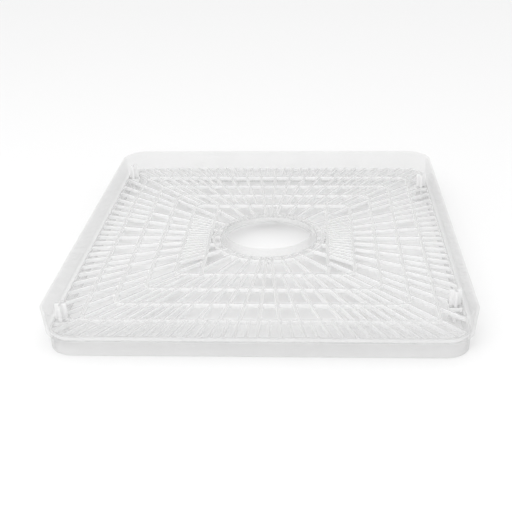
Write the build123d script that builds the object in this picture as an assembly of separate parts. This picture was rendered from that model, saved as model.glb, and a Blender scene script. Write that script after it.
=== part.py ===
from build123d import *
import os

# Stackable drying tray of a food dehydrator, one clear injection moulding, in millimetres.
# The frame stands on the lower edge of the tray: z is up, x across the width, y along the
# depth, and the origin is under the middle of the centre hole.

# Outline of the walls
RIM_WIDTH = 298.0            # outer size of the upper edge, across
RIM_DEPTH = 340.0            # outer size of the upper edge, front to back
RIM_CORNER = 23.0            # outer corner radius of the upper edge
WALL = 2.0                   # thickness of the upper wall
WALL_DRAFT = 1.6             # how far the upper wall leans in on its way down
WALL_HEIGHT = 16.4           # upper wall, from the deck to the upper edge
LEDGE_HEIGHT = 2.0           # ledge that seats on the tray below
SKIRT_HEIGHT = 12.8          # nesting skirt under the ledge
SKIRT_STEP = 2.7             # how far the skirt stands in from the ledge
SKIRT_WALL = 1.9             # thickness of the skirt at its top
SKIRT_DRAFT = 0.5            # how far the skirt's outer face leans in

# Grille of the deck: rings of straight bars about the centre, tied by radial ribs
DECK_THICKNESS = 3.2         # its top is flush with the ledge
BAR = 2.4                    # width of ring bars and straight bars
RIB = 2.4                    # width of the wide-spaced ribs
FINE_RIB = 2.0               # width of the close-spaced ribs
FIRST_RING = (69.25, 69.5)   # half size of the innermost ring, on its centre line
RING_STEP = (18.75, 23.8)    # what each further ring adds
RING_CORNER = 8.0            # corner radius of the rings, on their centre line
RINGS = 4
FRONT_PITCH = 5.625          # degrees between ribs towards the front and the rear
SIDE_PITCH = 8.7             # degrees between ribs towards the left and the right
# The row of ribs outside each ring has the full pitch up to a turn, then half of it to the corner
FRONT_TURN = {1: 42.0, 2: 33.75, 3: 22.5, 4: -1.0}
SIDE_TURN = {1: 45.0, 2: 34.8, 3: 17.4, 4: -1.0}
FRONT_LIMIT = 42.5
SIDE_LIMIT = 45.0

# Hub
HOLE_RADIUS = 36.0
COLLAR_WALL = 2.0
COLLAR_FOOT = 40.5           # outer radius of the collar where it meets the deck
COLLAR_RISE = 5.5            # collar above the deck
HUB_RING = 45.4              # centre line radius of the round bar about the collar
SIDE_BAR = 48.6              # distance of the two straight bars from the middle
HUB_FRONT_RIBS = (0, 5.625, 16.875, 28.125, 39.375)     # degrees from the front or rear
HUB_SIDE_RIBS = (0, 17.4, 34.8)                         # degrees from the left or right
CLOSE_SIDE_RIBS = 8          # ribs at half pitch beside each straight bar, from the middle on
WIDE_SIDE_RIBS = (4, 5)      # further ribs there, in full pitches

# Stacking posts on the deck, each over a foot of the same section
POST_X = 137.8
POST_Y_LEFT = 140.0
POST_Y_RIGHT = 116.0
POST_WIDTH = 8.4             # across
POST_LENGTH = 10.0           # front to back
POST_WEB = 2.2               # thickness of the two crossed webs
POST_HEIGHT = 12.0
FOOT_HEIGHT = 8.8
PAD = (10.0, 12.0)           # solid patch of the deck between post and foot

LEDGE_BOTTOM = SKIRT_HEIGHT
DECK_TOP = LEDGE_BOTTOM + LEDGE_HEIGHT
DECK_BOTTOM = DECK_TOP - DECK_THICKNESS
RIM_TOP = DECK_TOP + WALL_HEIGHT
HALF_RIM = (RIM_WIDTH / 2, RIM_DEPTH / 2)
LEDGE_IN = WALL_DRAFT                                   # outline offsets from the rim, inwards
SKIRT_OUT = LEDGE_IN + SKIRT_STEP
DECK_EDGE = SKIRT_OUT + SKIRT_WALL
REACH = 400.0                                           # longer than any rib
CORNERS = {
    "front_left": (-1, -1),
    "front_right": (1, -1),
    "rear_left": (-1, 1),
    "rear_right": (1, 1),
}


def outline(inset):
    """The rim's outline, moved inwards, as a flat face at z = 0."""
    width = RIM_WIDTH - 2 * inset
    depth = RIM_DEPTH - 2 * inset
    return RectangleRounded(width, depth, RIM_CORNER - inset)


def frustum(low_inset, low_z, high_inset, high_z):
    """A block between two heights whose outline changes evenly."""
    low = Pos(0, 0, low_z) * outline(low_inset)
    high = Pos(0, 0, high_z) * outline(high_inset)
    return loft(Sketch() + [low, high])


def upper_walls():
    """The wall above the deck: four straight sides and the four corners between them."""
    outside = frustum(LEDGE_IN, DECK_TOP, 0, RIM_TOP)
    inside = frustum(LEDGE_IN + WALL, DECK_TOP, WALL, RIM_TOP)
    wall = outside - inside
    turn_x = HALF_RIM[0] - RIM_CORNER                   # where the straight sides end
    turn_y = HALF_RIM[1] - RIM_CORNER
    middle_z = (DECK_TOP + RIM_TOP) / 2
    parts = {}
    for side, x, y in (("left", -1, 0), ("right", 1, 0), ("front", 0, -1), ("rear", 0, 1)):
        size_x = RIM_CORNER if x else 2 * turn_x
        size_y = RIM_CORNER if y else 2 * turn_y
        place = Pos(x * (turn_x + RIM_CORNER / 2), y * (turn_y + RIM_CORNER / 2), middle_z)
        parts[f"upper_wall_{side}"] = wall & place * Box(size_x, size_y, WALL_HEIGHT)
    for corner, (x, y) in CORNERS.items():
        place = Pos(x * (turn_x + RIM_CORNER / 2), y * (turn_y + RIM_CORNER / 2), middle_z)
        block = place * Box(RIM_CORNER, RIM_CORNER, WALL_HEIGHT)
        parts[f"upper_wall_corner_{corner}"] = wall & block
    return parts


def seat_ledge():
    flat = outline(LEDGE_IN) - outline(DECK_EDGE)
    return Pos(0, 0, LEDGE_BOTTOM) * extrude(flat, LEDGE_HEIGHT)


def nesting_skirt():
    outside = frustum(SKIRT_OUT + SKIRT_DRAFT, 0, SKIRT_OUT, SKIRT_HEIGHT)
    inside = extrude(outline(DECK_EDGE), SKIRT_HEIGHT)
    return outside - inside


def ring_face(number, shift):
    """Ring number 1 and up: the area inside its centre line, moved outwards by shift."""
    half_x = FIRST_RING[0] + (number - 1) * RING_STEP[0] + shift
    half_y = FIRST_RING[1] + (number - 1) * RING_STEP[1] + shift
    return RectangleRounded(2 * half_x, 2 * half_y, RING_CORNER + shift)


def rib_face(degrees, width):
    """A strip from the centre outwards, at an angle counted from +x."""
    return Rot(0, 0, degrees) * Pos(REACH / 2, 0) * Rectangle(REACH, width)


def fan(middle, angles, width):
    """Ribs on both sides of a middle direction, and of the opposite one."""
    strips = []
    for centre in (middle, middle + 180):
        for angle in angles:
            strips.append(rib_face(centre + angle, width))
            if angle > 0:
                strips.append(rib_face(centre - angle, width))
    return strips


def coarse_and_fine(pitch, turn, limit):
    """Angles at the full pitch up to turn, then at half of it up to limit."""
    coarse = [n * pitch for n in range(int(limit / pitch) + 1) if n * pitch <= turn + 0.01]
    fine = [n * pitch / 2 for n in range(int(2 * limit / pitch) + 1) if n * pitch / 2 > turn + 0.01]
    return coarse, fine


def row_ribs(number):
    strips = []
    for middle, pitch, turn, limit in (
        (90, FRONT_PITCH, FRONT_TURN[number], FRONT_LIMIT),
        (0, SIDE_PITCH, SIDE_TURN[number], SIDE_LIMIT),
    ):
        coarse, fine = coarse_and_fine(pitch, turn, limit)
        strips += fan(middle, coarse, RIB)
        strips += fan(middle, fine, FINE_RIB)
    return Sketch() + strips


def pads():
    return [Pos(x, y) * Rectangle(*PAD) for x, y in post_places().values()]


def deck_band(number):
    """One ring of the deck, with the ribs that tie it to the next ring or to the ledge."""
    inner = ring_face(number, -BAR / 2)
    ring = ring_face(number, BAR / 2) - inner
    if number < RINGS:
        area = ring_face(number + 1, -BAR / 2) - inner
    else:
        area = outline(DECK_EDGE) - inner
    flat = ring + (row_ribs(number) & area)
    if number == RINGS:
        for pad in pads():
            flat -= pad
    return Pos(0, 0, DECK_BOTTOM) * extrude(flat, DECK_THICKNESS)


def hub_collar():
    outer = HOLE_RADIUS + COLLAR_WALL
    profile = Polygon(
        (HOLE_RADIUS, DECK_BOTTOM),
        (COLLAR_FOOT, DECK_BOTTOM),
        (COLLAR_FOOT, DECK_TOP),
        (outer, DECK_TOP + COLLAR_RISE),
        (HOLE_RADIUS, DECK_TOP + COLLAR_RISE),
        align=None,
    )
    return revolve(Plane.XZ * profile, Axis.Z)


def hub_ring():
    """Round bar about the collar, with ribs in to the collar and out to the ring and bars."""
    bar = Circle(HUB_RING + BAR / 2) - Circle(HUB_RING - BAR / 2)
    ribs = Sketch() + fan(90, HUB_FRONT_RIBS, RIB) + fan(0, HUB_SIDE_RIBS, RIB)
    panel = ring_face(1, -BAR / 2) & Rectangle(2 * SIDE_BAR - BAR, RIM_DEPTH)
    flat = bar + (ribs & panel)
    flat -= Circle(COLLAR_FOOT)
    return Pos(0, 0, DECK_BOTTOM) * extrude(flat, DECK_THICKNESS)


def hub_side_panel(side):
    """Straight bar beside the hub, with close ribs out to the innermost ring."""
    inner = ring_face(1, -BAR / 2)
    bar = Pos(side * SIDE_BAR, 0) * Rectangle(BAR, RIM_DEPTH)
    close = [n * SIDE_PITCH / 2 for n in range(CLOSE_SIDE_RIBS)]
    wide = [n * SIDE_PITCH for n in WIDE_SIDE_RIBS]
    ribs = Sketch() + fan(0, close, FINE_RIB) + fan(0, wide, RIB)
    beside = Pos(side * (SIDE_BAR + RIM_WIDTH / 4), 0) * Rectangle(RIM_WIDTH / 2, RIM_DEPTH)
    flat = (bar + (ribs & beside)) & inner
    return Pos(0, 0, DECK_BOTTOM) * extrude(flat, DECK_THICKNESS)


def post_places():
    places = {}
    for corner, (x, y) in CORNERS.items():
        places[corner] = (x * POST_X, y * (POST_Y_LEFT if x < 0 else POST_Y_RIGHT))
    return places


def cross_section():
    return Rectangle(POST_WIDTH, POST_WEB) + Rectangle(POST_WEB, POST_LENGTH)


def stacking_post(place):
    """Crossed webs above the deck, on the solid patch that closes the grille there."""
    pad = Pos(*place, DECK_BOTTOM) * extrude(Rectangle(*PAD), DECK_THICKNESS)
    return pad + Pos(*place, DECK_TOP) * extrude(cross_section(), POST_HEIGHT)


def stacking_foot(place):
    low = DECK_BOTTOM - FOOT_HEIGHT
    return Pos(*place, low) * extrude(cross_section(), FOOT_HEIGHT)


def build():
    nodes = {
        **upper_walls(),
        "seat_ledge": seat_ledge(),
        "nesting_skirt": nesting_skirt(),
        "hub_collar": hub_collar(),
        "hub_ring": hub_ring(),
        "hub_side_panel_left": hub_side_panel(-1),
        "hub_side_panel_right": hub_side_panel(1),
    }
    for number in range(1, RINGS + 1):
        nodes[f"deck_band_{number}"] = deck_band(number)
    for corner, place in post_places().items():
        nodes[f"stacking_post_{corner}"] = stacking_post(place)
        nodes[f"stacking_foot_{corner}"] = stacking_foot(place)
    return nodes


os.makedirs("parts", exist_ok=True)
for name, shape in build().items():
    solids = shape.solids()
    shape = solids[0] if len(solids) == 1 else Compound(solids)
    export_step(shape, f"parts/{name}.step")
    box = shape.bounding_box()
    print(name, len(solids), round(shape.volume / 1000, 2), "cm3", box.min, box.max)
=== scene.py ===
from math import atan2, ceil, cos, hypot, pi, radians, sin, tan

import bmesh
import bpy
from mathutils import Matrix, Vector
from mathutils.geometry import delaunay_2d_cdt


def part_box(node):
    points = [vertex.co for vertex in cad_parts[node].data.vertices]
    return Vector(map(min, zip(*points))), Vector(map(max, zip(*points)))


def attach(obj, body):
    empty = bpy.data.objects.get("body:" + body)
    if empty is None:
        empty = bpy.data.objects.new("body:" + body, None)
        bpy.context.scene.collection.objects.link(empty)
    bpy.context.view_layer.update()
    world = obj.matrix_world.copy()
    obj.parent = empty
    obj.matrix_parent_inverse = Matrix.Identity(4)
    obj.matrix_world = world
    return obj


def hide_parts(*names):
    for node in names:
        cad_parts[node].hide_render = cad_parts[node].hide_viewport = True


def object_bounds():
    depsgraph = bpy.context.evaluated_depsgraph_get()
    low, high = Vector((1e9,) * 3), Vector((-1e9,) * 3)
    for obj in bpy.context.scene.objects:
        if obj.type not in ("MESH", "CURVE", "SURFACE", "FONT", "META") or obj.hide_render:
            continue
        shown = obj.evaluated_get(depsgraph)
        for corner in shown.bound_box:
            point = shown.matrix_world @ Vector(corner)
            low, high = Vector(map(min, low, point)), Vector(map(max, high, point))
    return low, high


# Clear stacking tray of a food dehydrator, as it comes out of the mould: a wall with a nesting
# skirt, a grille deck with a collared hole, and four posts with feet. Lengths are in metres.

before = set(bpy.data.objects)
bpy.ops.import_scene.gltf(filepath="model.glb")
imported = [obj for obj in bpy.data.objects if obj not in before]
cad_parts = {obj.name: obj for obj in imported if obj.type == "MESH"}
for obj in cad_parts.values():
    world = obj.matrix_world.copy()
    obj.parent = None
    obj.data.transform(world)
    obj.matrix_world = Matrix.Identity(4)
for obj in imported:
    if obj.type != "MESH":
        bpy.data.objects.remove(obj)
CAD_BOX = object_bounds()
MM = 0.001

# Heights and outlines, from the frame
RIM = Vector(CAD_BOX[1])                        # half sizes and height of the upper edge
LEDGE_LOW, LEDGE_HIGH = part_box("seat_ledge")
SKIRT_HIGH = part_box("nesting_skirt")[1]
COLLAR_LOW, COLLAR_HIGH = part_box("hub_collar")
DECK_LOW, DECK_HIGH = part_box("deck_band_4")
HUB_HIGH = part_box("hub_ring")[1]
DECK_TOP = DECK_HIGH.z
DECK_UNDER = DECK_LOW.z
LEDGE_IN = RIM.x - LEDGE_HIGH.x                # how far each outline stands in from the rim
SKIRT_OUT = RIM.x - SKIRT_HIGH.x
DECK_EDGE = RIM.x - DECK_HIGH.x
POSTS = ("front_left", "front_right", "rear_left", "rear_right")

# Walls
RIM_CORNER = 23 * MM
WALL = 2.0 * MM
SKIRT_DRAFT = 0.5 * MM

# Grille
BAR = 2.4 * MM
RIB = 2.4 * MM
FINE_RIB = 2.0 * MM
RING_CORNER = 8 * MM                           # on the centre line of a ring
RINGS = 4
FRONT_PITCH = 5.625                            # degrees between ribs, front and rear
SIDE_PITCH = 8.7                               # degrees between ribs, left and right
FRONT_TURN = {1: 42.0, 2: 33.75, 3: 22.5, 4: -1.0}      # where the pitch halves in each row
SIDE_TURN = {1: 45.0, 2: 34.8, 3: 17.4, 4: -1.0}
FRONT_LIMIT = 42.5
SIDE_LIMIT = 45.0
HUB_FRONT_RIBS = (0, 5.625, 16.875, 28.125, 39.375)
HUB_SIDE_RIBS = (0, 17.4, 34.8)
CLOSE_SIDE_RIBS = range(8)                     # side panels: ribs at half the side pitch
WIDE_SIDE_RIBS = (4, 5)                        # and ribs at the full pitch

# Hub
HOLE_RADIUS = 36 * MM
COLLAR_WALL = 2 * MM
HUB_RING = 45.4 * MM                           # centre line radius of the round bar

# Posts
WEB = 2.2 * MM

# Plastic and studio
FLOW = 30 * MM                                 # spacing of the flow pattern in the plastic
RIPPLE = 0.1 * MM                              # its height
LAYERS = 96                                    # faces of clear plastic one ray may cross
FLOOR_HALF = 30.0                              # half the side of the floor

# Radii that the mould leaves
EDGE = 0.35 * MM                               # edges of the ribs and bars
RIM_EDGE = 0.7 * MM                            # edges of the walls
GAP_CORNER = 0.9 * MM                          # corners of the openings
SEAM = 1.0 * MM                                # how far the deck reaches into the walls
LEVEL = 0.95                                   # upward part of the normal of a flat face


# ---------------------------------------------------------------- outlines

def rounded_box(half_x, half_y, corner):
    """How far a point is outside a rounded rectangle, as a function of the point."""
    def outside(x, y):
        over_x = abs(x) - half_x + corner
        over_y = abs(y) - half_y + corner
        return hypot(max(over_x, 0), max(over_y, 0)) + min(max(over_x, over_y), 0) - corner
    return outside


def circle(radius):
    return lambda x, y: hypot(x, y) - radius


def strip(half_x):
    return lambda x, y: abs(x) - half_x


def both(first, second):
    return lambda x, y: max(first(x, y), second(x, y))


def ray_point(edge, angle, shift=0.0):
    """Where a line from the centre, moved sideways by shift, crosses an edge."""
    along = Vector((cos(angle), sin(angle)))
    aside = Vector((-sin(angle), cos(angle))) * shift
    near, far = 0.0, 2 * RIM.y
    for _ in range(40):
        middle = (near + far) / 2
        if edge(*(along * middle + aside)) < 0:
            near = middle
        else:
            far = middle
    return along * near + aside


def edge_points(edge, start, end, corners=()):
    """Points of an edge strictly between two of its points, a fine step apart."""
    first = atan2(start.y, start.x)
    last = atan2(end.y, end.x)
    turn = (last - first + pi) % (2 * pi) - pi
    steps = max(1, ceil(abs(turn) / radians(0.5)))
    angles = [first + turn * n / steps for n in range(1, steps)]
    for corner in corners:
        offset = (corner - first + pi) % (2 * pi) - pi
        if 0 < offset / turn < 1:
            angles.append(first + offset)
    angles.sort(key=lambda a: abs(a - first))
    return [ray_point(edge, a) for a in angles]


def turn_at(points, index):
    before = points[index] - points[index - 1]
    after = points[(index + 1) % len(points)] - points[index]
    if before.length < 1e-9 or after.length < 1e-9:
        return 0.0
    return before.angle_signed(after)


def without_straight(points):
    """A closed outline without the points that lie in a straight run."""
    return [p for n, p in enumerate(points) if abs(turn_at(points, n)) > radians(0.15)]


def soften(points, radius, sharp=20, steps=4):
    """A closed outline with its sharp corners turned into arcs."""
    result = []
    for n, point in enumerate(points):
        turn = abs(turn_at(points, n))
        if turn < radians(sharp):
            result.append(point)
            continue
        back = points[n - 1] - point
        ahead = points[(n + 1) % len(points)] - point
        room = 0.45 * min(back.length, ahead.length)
        reach = min(radius * tan(turn / 2), room)
        start = point + back.normalized() * reach
        end = point + ahead.normalized() * reach
        arc_radius = reach / tan(turn / 2)
        inward = (back.normalized() + ahead.normalized()).normalized()
        centre = point + inward * (arc_radius / cos(turn / 2))
        from_centre = start - centre
        swing = from_centre.angle_signed(end - centre)
        for step in range(steps + 1):
            a = -swing * step / steps
            turned = Vector((from_centre.x * cos(a) - from_centre.y * sin(a),
                             from_centre.x * sin(a) + from_centre.y * cos(a)))
            result.append(centre + turned)
    return result


def rounded_outline(half_x, half_y, corner, steps=16):
    """A rounded rectangle as a closed run of points, with the same count at any size."""
    points = []
    for quarter, (side_x, side_y) in enumerate(((1, 1), (-1, 1), (-1, -1), (1, -1))):
        centre = Vector((side_x * (half_x - corner), side_y * (half_y - corner)))
        for step in range(steps + 1):
            angle = pi / 2 * (quarter + step / steps)
            points.append(centre + corner * Vector((cos(angle), sin(angle))))
    return points


def round_outline(radius, steps=96):
    return [Vector((radius * cos(2 * pi * n / steps), radius * sin(2 * pi * n / steps)))
            for n in range(steps)]


# ---------------------------------------------------------------- mesh building

def object_from(name, mesh, plastic, sides=None):
    """A piece in one material, or with a second one on its upright faces and edges, which paints a
    highlight there.
    """
    piece = bpy.data.objects.new(name, mesh)
    bpy.context.scene.collection.objects.link(piece)
    mesh.materials.append(plastic)
    if sides:
        mesh.materials.append(sides)
        for face in mesh.polygons:
            # upright faces and edges take the second material, which paints a highlight on them
            face.material_index = 0 if abs(face.normal.z) > LEVEL else 1
    return piece


def finish_piece(piece, nodes):
    """Even shading over flat faces and soft edges, then its place in the frame."""
    for polygon in piece.data.polygons:
        polygon.use_smooth = True
    weighted = piece.modifiers.new("even_flats", "WEIGHTED_NORMAL")
    weighted.mode = "FACE_AREA"
    weighted.weight = 100
    bpy.context.view_layer.objects.active = piece
    bpy.ops.object.modifier_apply(modifier=weighted.name)
    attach(piece, "root")
    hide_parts(*nodes)


def welded(mesh):
    """Closes the mesh along its seams and turns its faces outwards."""
    work = bmesh.new()
    work.from_mesh(mesh)
    bmesh.ops.remove_doubles(work, verts=work.verts, dist=2e-6)
    bmesh.ops.dissolve_degenerate(work, dist=1e-6, edges=work.edges)
    bmesh.ops.recalc_face_normals(work, faces=work.faces)
    work.to_mesh(mesh)
    work.free()
    return mesh


def moved_left(points, distance):
    """A closed outline moved sideways, to the left of the way it runs."""
    result = []
    for n, point in enumerate(points):
        before = (point - points[n - 1]).normalized()
        after = (points[(n + 1) % len(points)] - point).normalized()
        left = Vector((-before.y - after.y, before.x + after.x))
        result.append(point + left * (distance / (1 + before.dot(after))))
    return result


def signed_area(points):
    return sum(points[n - 1].cross(point) for n, point in enumerate(points)) / 2


def plate_mesh(name, outline, holes, low, high, edge, steps=3):
    """A flat plate between two heights, with holes through it and soft edges all round."""
    loops = [outline if signed_area(outline) > 0 else outline[::-1]]
    loops += [hole if signed_area(hole) < 0 else hole[::-1] for hole in holes]
    bend = [pi / 2 * n / steps for n in range(steps + 1)]
    levels = [(edge * (1 - cos(a)), high - edge * (1 - sin(a))) for a in bend]
    levels += [(edge * (1 - cos(a)), low + edge * (1 - sin(a))) for a in bend[::-1]]
    vertices, faces, top, regions = [], [], [], []
    for loop in loops:
        first, count = len(vertices), len(loop)
        rows = [moved_left(loop, inset) for inset, _ in levels]
        for row, (_, height) in zip(rows, levels):
            vertices += [(p.x, p.y, height) for p in row]
        top_row = first + steps * count
        for n in range(count):
            step = (n + 1) % count
            for r in range(len(levels)):
                following = (r + 1) % len(levels)
                if r != steps:
                    faces.append((first + r * count + n, first + r * count + step,
                                  first + following * count + step, first + following * count + n))
        region = range(len(top), len(top) + count)
        regions.append(list(region) if not regions else list(region)[::-1])
        top += [(p, top_row + n, top_row + count + n) for n, p in enumerate(rows[steps])]
    filled = delaunay_2d_cdt([p for p, _, _ in top], [], regions, 1, 1e-7)
    assert len(filled[0]) == len(top), "an outline crosses another one"
    source = [origin[0] for origin in filled[3]]
    for face, inside in zip(filled[2], filled[5]):
        if list(inside) == [0]:
            faces.append([top[source[n]][1] for n in face])
            faces.append([top[source[n]][2] for n in face[::-1]])
    mesh = bpy.data.meshes.new(name)
    mesh.from_pydata(vertices, [], faces)
    return welded(mesh)


def swept_mesh(name, rows):
    """A closed skin through equal rows of points, the last row joined to the first."""
    count = len(rows[0])
    vertices = [point for row in rows for point in row]
    faces = []
    for r in range(len(rows)):
        following = (r + 1) % len(rows)
        for n in range(count):
            step = (n + 1) % count
            faces.append((r * count + n, r * count + step,
                          following * count + step, following * count + n))
    mesh = bpy.data.meshes.new(name)
    mesh.from_pydata(vertices, [], faces)
    return welded(mesh)


# ---------------------------------------------------------------- grille

def ring_inside(number):
    """Half sizes of the opening inside ring number 1 and up; past the last ring, the walls."""
    if number == 1:
        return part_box("hub_side_panel_right")[1].xy
    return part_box(f"deck_band_{number - 1}")[1].xy


def ring_edges(number):
    """Inner and outer edge of a ring."""
    half_x, half_y = ring_inside(number)
    inner = rounded_box(half_x, half_y, RING_CORNER - BAR / 2)
    outer = rounded_box(half_x + BAR, half_y + BAR, RING_CORNER + BAR / 2)
    return inner, outer


def pitched(pitch, turn, limit):
    """Rib angles and widths on one side of a middle direction: coarse, then close."""
    ribs = [(n * pitch, RIB) for n in range(int(limit / pitch) + 1) if n * pitch <= turn + 0.01]
    half = pitch / 2
    ribs += [(n * half, FINE_RIB) for n in range(int(limit / half) + 1)
             if n * half > turn + 0.01]
    return ribs


def all_round(front, side):
    """Ribs of the four sides in order about the centre, as angle and width."""
    ribs = []
    for middle, half_fan in ((0, side), (90, front), (180, side), (270, front)):
        for angle, width in half_fan:
            ribs.append((radians((middle + angle) % 360), width))
            if angle > 0:
                ribs.append((radians((middle - angle) % 360), width))
    return sorted(ribs)


def gap(inner, outer, first, second, corners=()):
    """The opening between two ribs and two edges."""
    inner_start = ray_point(inner, first[0], first[1] / 2)
    outer_start = ray_point(outer, first[0], first[1] / 2)
    inner_end = ray_point(inner, second[0], -second[1] / 2)
    outer_end = ray_point(outer, second[0], -second[1] / 2)
    points = [inner_start, outer_start]
    points += edge_points(outer, outer_start, outer_end, corners)
    points += [outer_end, inner_end]
    points += edge_points(inner, inner_end, inner_start, corners)
    return soften(without_straight(points), GAP_CORNER)


def gaps_between(inner, outer, ribs, corners=()):
    return [gap(inner, outer, first, second, corners)
            for first, second in zip(ribs, ribs[1:] + ribs[:1])]


def row_gaps(number):
    """Openings between a ring and the next one, or the walls."""
    if number < RINGS:
        outer = ring_edges(number + 1)[0]
    else:
        outer = rounded_box(DECK_HIGH.x, DECK_HIGH.y, RIM_CORNER - DECK_EDGE)
    ribs = all_round(pitched(FRONT_PITCH, FRONT_TURN[number], FRONT_LIMIT),
                     pitched(SIDE_PITCH, SIDE_TURN[number], SIDE_LIMIT))
    return gaps_between(ring_edges(number)[1], outer, ribs)


def hub_gaps():
    """Openings about the collar, inside and outside the round bar."""
    ribs = all_round([(a, RIB) for a in HUB_FRONT_RIBS], [(a, RIB) for a in HUB_SIDE_RIBS])
    half_x, half_y = HUB_HIGH.xy
    panel = both(ring_edges(1)[0], strip(half_x))
    corner = atan2(half_y, half_x)
    corners = (corner, pi - corner, pi + corner, 2 * pi - corner)
    foot = circle(COLLAR_HIGH.x)
    inside = gaps_between(foot, circle(HUB_RING - BAR / 2), ribs)
    outside = gaps_between(circle(HUB_RING + BAR / 2), panel, ribs, corners)
    return inside + outside


def side_panel_gaps(side):
    """Openings between a straight bar beside the hub and the innermost ring."""
    bar = strip(HUB_HIGH.x + BAR)
    ring = ring_edges(1)[0]
    middle = 0 if side > 0 else pi
    close = [(n * SIDE_PITCH / 2, FINE_RIB) for n in CLOSE_SIDE_RIBS]
    wide = [(n * SIDE_PITCH, RIB) for n in WIDE_SIDE_RIBS]
    half_fan = close + wide
    ribs = sorted([(radians(a), w) for a, w in half_fan] +
                  [(radians(-a), w) for a, w in half_fan if a > 0])
    ribs = [(middle + a, w) for a, w in ribs]
    openings = [gap(bar, ring, first, second) for first, second in zip(ribs, ribs[1:])]
    openings += [end_gap(bar, ring, *ribs[-1], 1), end_gap(bar, ring, *ribs[0], -1)]
    return openings


def end_gap(bar, ring, angle, width, way):
    """The opening between the last rib of a side panel, its bar and the end of the ring."""
    bar_start = ray_point(bar, angle, way * width / 2)
    ring_start = ray_point(ring, angle, way * width / 2)
    half_y = ring_inside(1)[1]
    meeting = Vector((bar_start.x, way * half_y * (1 if cos(angle) > 0 else -1)))
    points = [bar_start, ring_start]
    points += edge_points(ring, ring_start, meeting)
    points += [meeting]
    return soften(without_straight(points), GAP_CORNER)


def deck_grille(plastic, sides):
    half_x = DECK_HIGH.x + SEAM
    half_y = DECK_HIGH.y + SEAM
    outline = rounded_outline(half_x, half_y, RIM_CORNER - DECK_EDGE + SEAM)
    holes = [round_outline(COLLAR_HIGH.x - SEAM)]
    holes += hub_gaps() + side_panel_gaps(1) + side_panel_gaps(-1)
    for number in range(1, RINGS + 1):
        holes += row_gaps(number)
    mesh = plate_mesh("deck_grille", outline, holes, DECK_UNDER, DECK_TOP, EDGE)
    bands = [f"deck_band_{number}" for number in range(1, RINGS + 1)]
    finish_piece(object_from("deck_grille", mesh, plastic, sides),
                 bands + ["hub_ring", "hub_side_panel_left", "hub_side_panel_right"])


# ---------------------------------------------------------------- walls, collar and posts

def tray_walls(plastic):
    """Upper wall, ledge and skirt as one moulded section, swept round the tray."""
    section = [Vector(p) for p in (
        (0, RIM.z),
        (LEDGE_IN, DECK_TOP),
        (LEDGE_IN, LEDGE_LOW.z),
        (SKIRT_OUT, LEDGE_LOW.z),
        (SKIRT_OUT + SKIRT_DRAFT, 0),
        (DECK_EDGE, 0),
        (DECK_EDGE, DECK_TOP),
        (LEDGE_IN + WALL, DECK_TOP),
        (WALL, RIM.z),
    )]
    rows = []
    for inset, height in soften(section, RIM_EDGE, steps=4):
        outline = rounded_outline(RIM.x - inset, RIM.y - inset, RIM_CORNER - inset)
        rows.append([(p.x, p.y, height) for p in outline])
    walls = object_from("tray_walls", swept_mesh("tray_walls", rows), plastic)
    upper = [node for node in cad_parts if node.startswith("upper_wall")]
    finish_piece(walls, upper + ["seat_ledge", "nesting_skirt"])


def hub_collar(plastic):
    """The collar's section, turned about the middle of the hole."""
    outer = HOLE_RADIUS + COLLAR_WALL
    section = [Vector(p) for p in (
        (HOLE_RADIUS, COLLAR_LOW.z),
        (COLLAR_HIGH.x, COLLAR_LOW.z),
        (COLLAR_HIGH.x, DECK_TOP),
        (outer, COLLAR_HIGH.z),
        (HOLE_RADIUS, COLLAR_HIGH.z),
    )]
    rows = []
    for radius, height in soften(section, EDGE, steps=3):
        rows.append([(p.x, p.y, height) for p in round_outline(radius)])
    collar = object_from("hub_collar_ring", swept_mesh("hub_collar_ring", rows), plastic)
    finish_piece(collar, ["hub_collar"])


def cross_outline(centre, half_x, half_y):
    """A cross of two webs, as a closed outline."""
    web = WEB / 2
    corners = ((half_x, -web), (half_x, web), (web, web), (web, half_y), (-web, half_y),
               (-web, web), (-half_x, web), (-half_x, -web), (-web, -web), (-web, -half_y),
               (web, -half_y), (web, -web))
    return soften([centre + Vector(c) for c in corners], 0.5 * MM)


def stacking_post(corner, plastic, sides):
    low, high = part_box(f"stacking_post_{corner}")
    foot_low, foot_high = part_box(f"stacking_foot_{corner}")
    centre = (foot_low.xy + foot_high.xy) / 2
    half = (foot_high.xy - foot_low.xy) / 2
    cross = cross_outline(centre, half.x, half.y)
    pad_half = (high.xy - low.xy) / 2
    pad = soften([centre + Vector((sx * pad_half.x, sy * pad_half.y))
                  for sx, sy in ((1, -1), (1, 1), (-1, 1), (-1, -1))], GAP_CORNER)
    post = plate_mesh("post", cross, [], DECK_TOP - EDGE, high.z, EDGE)
    foot = plate_mesh("foot", cross, [], foot_low.z, DECK_UNDER + EDGE, EDGE)
    pad_mesh = plate_mesh("pad", pad, [], DECK_UNDER, DECK_TOP, EDGE)
    work = bmesh.new()
    for mesh in (post, pad_mesh, foot):
        work.from_mesh(mesh)
    joined = bpy.data.meshes.new(f"post_and_foot_{corner}")
    work.to_mesh(joined)
    work.free()
    piece = object_from(f"post_and_foot_{corner}", joined, plastic, sides)
    finish_piece(piece, [f"stacking_post_{corner}", f"stacking_foot_{corner}"])


# ---------------------------------------------------------------- materials

def to_linear(code):
    """An sRGB hex colour as linear values with full opacity."""
    values = [int(code[n:n + 2], 16) / 255 for n in (1, 3, 5)]
    linear = [v / 12.92 if v <= 0.04045 else ((v + 0.055) / 1.055) ** 2.4 for v in values]
    return (*linear, 1.0)


def add_node(tree, kind, settings=None, links=None):
    """Adds a node; settings are attributes or input values, links are input to output."""
    node = tree.nodes.new(kind)
    for key, value in (settings or {}).items():
        if key in node.inputs:
            node.inputs[key].default_value = value
        else:
            setattr(node, key, value)
    for key, output in (links or {}).items():
        tree.links.new(output, node.inputs[key])
    return node


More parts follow.
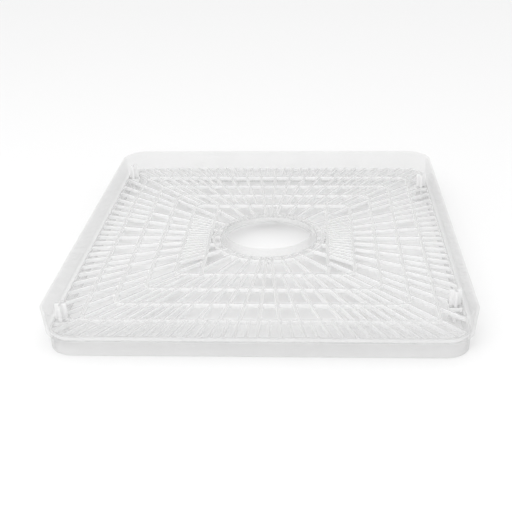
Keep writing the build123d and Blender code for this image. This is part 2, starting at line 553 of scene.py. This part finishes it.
def new_material(name):
    material = bpy.data.materials.new(name)
    material.use_nodes = True
    material.node_tree.nodes.clear()
    return material, material.node_tree


def polystyrene(name, colour, face_on, edge_on, smooth, rough):
    """Clear polystyrene, IOR 1.59. Its haze and gloss follow a faint flow pattern.

    face_on and edge_on say how much of each surface is haze, seen square on and edge on.
    """
    material, tree = new_material(name)
    place = add_node(tree, "ShaderNodeTexCoord")
    flow = add_node(tree, "ShaderNodeTexNoise", {"Scale": 1 / FLOW, "Detail": 3.0},
                    {"Vector": place.outputs["Object"]})
    haze = add_node(tree, "ShaderNodeMapRange", {"To Min": 0.8 * face_on, "To Max": 1.2 * face_on},
                    {"Value": flow.outputs["Fac"]})
    gloss = add_node(tree, "ShaderNodeMapRange", {"To Min": smooth, "To Max": rough},
                     {"Value": flow.outputs["Fac"]})
    ripple = add_node(tree, "ShaderNodeBump", {"Strength": 0.15, "Distance": RIPPLE},
                      {"Height": flow.outputs["Fac"]})
    grazing = add_node(tree, "ShaderNodeLayerWeight", {"Blend": 0.5})
    density = add_node(tree, "ShaderNodeMapRange", {"From Min": 0.5, "To Max": edge_on},
                       {"Value": grazing.outputs["Facing"], "To Min": haze.outputs["Result"]})
    surface = add_node(tree, "ShaderNodeBsdfPrincipled", {
        "Base Color": to_linear(colour),
        "IOR": 1.59,
    }, {"Roughness": gloss.outputs["Result"], "Normal": ripple.outputs["Normal"],
        "Alpha": density.outputs["Result"]})
    add_node(tree, "ShaderNodeOutputMaterial", None, {"Surface": surface.outputs["BSDF"]})
    return material


def clear_polystyrene():
    """Walls and collar, thin and moulded against polished steel."""
    return polystyrene("clear_polystyrene", "#cfcfcf",
                       face_on=0.2, edge_on=0.5, smooth=0.05, rough=0.15)


def deck_polystyrene():
    """Tops and undersides of the grille, thicker and so a little greyer."""
    return polystyrene("deck_polystyrene", "#d5d5d5",
                       face_on=0.6, edge_on=0.7, smooth=0.1, rough=0.25)


def polystyrene_sides_painted_highlight():
    """Sides of ribs and bars, moulded against spark-eroded steel and so rougher; their whiter
    colour and thicker haze than the tops are a painted highlight.
    """
    return polystyrene("polystyrene_sides_painted_highlight", "#f2f2f2",
                       face_on=0.75, edge_on=0.85, smooth=0.35, rough=0.5)


def white_paper():
    """Matt white studio paper."""
    material, tree = new_material("white_paper")
    surface = add_node(tree, "ShaderNodeBsdfPrincipled", {
        "Base Color": to_linear("#e6e6e6"),
        "Roughness": 0.9,
    })
    add_node(tree, "ShaderNodeOutputMaterial", None, {"Surface": surface.outputs["BSDF"]})
    return material


# ---------------------------------------------------------------- studio

def studio():
    corners = ((-1, -1), (1, -1), (1, 1), (-1, 1))
    mesh = bpy.data.meshes.new("floor")
    mesh.from_pydata([(x * FLOOR_HALF, y * FLOOR_HALF, 0) for x, y in corners], [], [(0, 1, 2, 3)])
    floor = object_from("floor", mesh, white_paper())
    floor.location.z = -0.05 * MM
    world = bpy.data.worlds.new("studio")
    bpy.context.scene.world = world
    world.use_nodes = True
    world.node_tree.nodes.clear()
    sky = add_node(world.node_tree, "ShaderNodeBackground", {
        "Color": (1, 1, 1, 1), "Strength": 1.09})
    add_node(world.node_tree, "ShaderNodeOutputWorld", None,
             {"Surface": sky.outputs["Background"]})
    bpy.context.scene.view_settings.view_transform = "Standard"
    bpy.context.scene.cycles.transparent_max_bounces = LAYERS


def soft_box(name, place, target, width, height, power):
    light = bpy.data.lights.new(name, "AREA")
    light.shape = "RECTANGLE"
    light.size = width
    light.size_y = height
    light.energy = power
    lamp = bpy.data.objects.new(name, light)
    lamp.location = place
    lamp.rotation_euler = (Vector(target) - Vector(place)).to_track_quat("-Z", "Y").to_euler()
    bpy.context.scene.collection.objects.link(lamp)


def camera():
    """A short telephoto lens in front of the tray and above it, level with its edges."""
    lens = bpy.data.cameras.new("camera")
    lens.lens = 64.08
    lens.sensor_width = 36
    lens.shift_x = -0.0485
    lens.shift_y = -0.0295
    lens.clip_start = 0.01
    view = bpy.data.objects.new("camera", lens)
    pitch, yaw, roll = radians(24.584), radians(2.353), radians(-0.818)
    turn = Matrix.Rotation(yaw, 4, "Z") @ Matrix.Rotation(pi / 2 - pitch, 4, "X")
    turn = turn @ Matrix.Rotation(roll, 4, "Z")
    place = Vector((0.0383, -0.6900, DECK_TOP + 0.3117))
    view.matrix_world = Matrix.Translation(place) @ turn
    bpy.context.scene.collection.objects.link(view)
    bpy.context.scene.camera = view


camera()
studio()
soft_box("key", (-0.3, -1.2, 1.2), (0, 0, 0), 1.2, 0.8, 10)
CLEAR = clear_polystyrene()
DECK = deck_polystyrene()
# the sides material paints a highlight on the upright faces of ribs, bars, posts and feet
PAINTED_HIGHLIGHT_SIDES = polystyrene_sides_painted_highlight()
tray_walls(CLEAR)
deck_grille(DECK, PAINTED_HIGHLIGHT_SIDES)
hub_collar(CLEAR)
for corner_name in POSTS:
    stacking_post(corner_name, CLEAR, PAINTED_HIGHLIGHT_SIDES)
